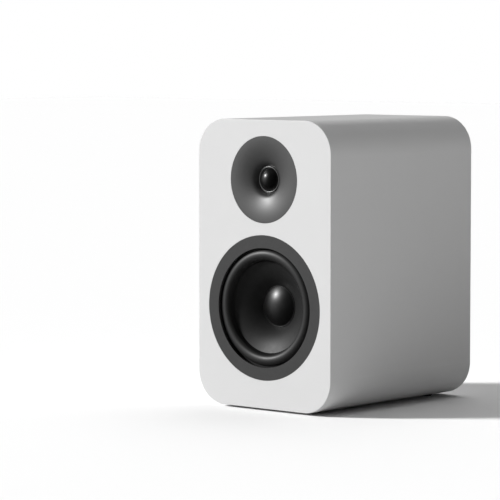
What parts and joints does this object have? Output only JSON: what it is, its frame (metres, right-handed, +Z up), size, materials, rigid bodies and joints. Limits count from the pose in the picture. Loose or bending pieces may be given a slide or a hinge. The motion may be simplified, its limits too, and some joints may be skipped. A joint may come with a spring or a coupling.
{
  "type": "bookshelf speaker",
  "caption": "Two-way bookshelf speaker: round-cornered cabinet with a cone woofer and a dome tweeter in a waveguide in front, and a port and binding posts behind.",
  "frame": {"origin": "middle of the cabinet's footprint, at the underside of the rubber feet", "axes": "+Z up, -Y towards the listener (the drivers face -Y), +X to the right as seen from in front of the speaker"},
  "size_m": [0.18, 0.238, 0.3025],
  "materials": {
    "white_lacquer": "matt white lacquer over fibreboard",
    "bare_board": "bare sanded fibreboard",
    "foot_rubber": "matt moulded rubber",
    "felt": "grey polyester felt",
    "grey_trim": "fine satin texture",
    "black_casting": "black powder coat",
    "black_foam": "closed-cell foam",
    "black_steel": "black oxide",
    "zinc_steel": "zinc plated",
    "ferrite": "ground ferrite",
    "brown_fibre": "phenolic fibre board",
    "cone_black": "satin coated polypropylene",
    "cap_black": "smooth gloss",
    "surround_rubber": "satin butyl rubber",
    "spider_cloth": "resin-dipped cotton",
    "bare_aluminium": "bright foil",
    "copper_wire": "enamelled copper",
    "black_plastic": "fine moulded texture",
    "dome_black": "smooth gloss",
    "board_green": "solder mask",
    "capacitor_film": "wrapped film",
    "resistor_white": "cement",
    "natural_nylon": "nylon",
    "gold_plate": "gold plated",
    "knob_red": "moulded",
    "knob_black": "moulded",
    "wire_insulation": "PVC insulation"
  },
  "bodies": {
    "cabinet": {"cabinet_shell": "white_lacquer", "front_baffle": "white_lacquer", "rear_panel": "white_lacquer", "window_brace": "bare_board", "foot_front_left": "foot_rubber", "foot_front_right": "foot_rubber", "foot_rear_left": "foot_rubber", "foot_rear_right": "foot_rubber", "wadding_left": "felt", "wadding_right": "felt", "woofer_trim_ring": "grey_trim", "woofer_basket": "black_casting", "woofer_gasket": "black_foam", "woofer_screws": "black_steel", "woofer_top_plate": "zinc_steel", "woofer_magnet": "ferrite", "woofer_yoke": "zinc_steel", "woofer_terminal_strip": "brown_fibre", "woofer_surround": "surround_rubber", "woofer_spider": "spider_cloth", "woofer_tinsel_leads": "copper_wire", "tweeter_waveguide": "grey_trim", "tweeter_gasket": "black_foam", "tweeter_screws": "black_steel", "tweeter_top_plate": "zinc_steel", "tweeter_magnet": "ferrite", "tweeter_yoke": "zinc_steel", "tweeter_rear_chamber": "black_plastic", "tweeter_terminals": "black_plastic", "tweeter_surround": "surround_rubber", "crossover_board": "board_green", "woofer_inductor": "copper_wire", "tweeter_inductor": "copper_wire", "tweeter_capacitor": "capacitor_film", "woofer_capacitor": "capacitor_film", "crossover_resistors": "resistor_white", "board_standoffs": "natural_nylon", "board_screws": "zinc_steel", "terminal_cup": "black_plastic", "terminal_gasket": "black_foam", "terminal_screws": "black_steel", "red_post": "gold_plate", "black_post": "gold_plate", "post_nuts": "zinc_steel", "port_mouth": "black_plastic", "port_tube": "black_plastic", "port_inner_flare": "black_plastic", "input_leads": "wire_insulation", "speaker_leads": "wire_insulation"},
    "woofer_moving": {"woofer_cone": "cone_black", "woofer_dust_cap": "cap_black", "woofer_coil_former": "bare_aluminium", "woofer_voice_coil": "copper_wire"},
    "tweeter_moving": {"tweeter_dome": "dome_black", "tweeter_coil_former": "bare_aluminium", "tweeter_voice_coil": "copper_wire"},
    "red_clamp": {"red_clamp_washer": "gold_plate"},
    "black_clamp": {"black_clamp_washer": "gold_plate"},
    "red_knob": {"red_knob": "knob_red"},
    "black_knob": {"black_knob": "knob_black"}
  },
  "joints": [
    {"name": "woofer_stroke", "type": "slide", "parent": "cabinet", "child": "woofer_moving", "axis": [0, -1, 0], "range_m": [-0.005, 0.005], "stiffness_N_per_m": 1000, "deforming": ["woofer_surround", "woofer_spider", "woofer_tinsel_leads"]},
    {"name": "tweeter_stroke", "type": "slide", "parent": "cabinet", "child": "tweeter_moving", "axis": [0, -1, 0], "range_m": [-0.0005, 0.0005], "stiffness_N_per_m": 1500, "deforming": ["tweeter_surround"]},
    {"name": "red_clamp_travel", "type": "slide", "parent": "cabinet", "child": "red_clamp", "axis": [0, 1, 0], "range_m": [0, 0.005]},
    {"name": "red_knob_turn", "type": "hinge", "parent": "red_clamp", "child": "red_knob", "pos_m": [-0.00953, 0.105, 0.0905], "axis": [0, 1, 0], "range_deg": [0, 1800]},
    {"name": "black_clamp_travel", "type": "slide", "parent": "cabinet", "child": "black_clamp", "axis": [0, 1, 0], "range_m": [0, 0.005]},
    {"name": "black_knob_turn", "type": "hinge", "parent": "black_clamp", "child": "black_knob", "pos_m": [0.00953, 0.105, 0.0905], "axis": [0, 1, 0], "range_deg": [0, 1800]}
  ],
  "couplings": [
    {"joint": "red_knob_turn", "follows": "red_clamp_travel", "rad_per_m": 6283.2},
    {"joint": "black_knob_turn", "follows": "black_clamp_travel", "rad_per_m": 6283.2}
  ]
}
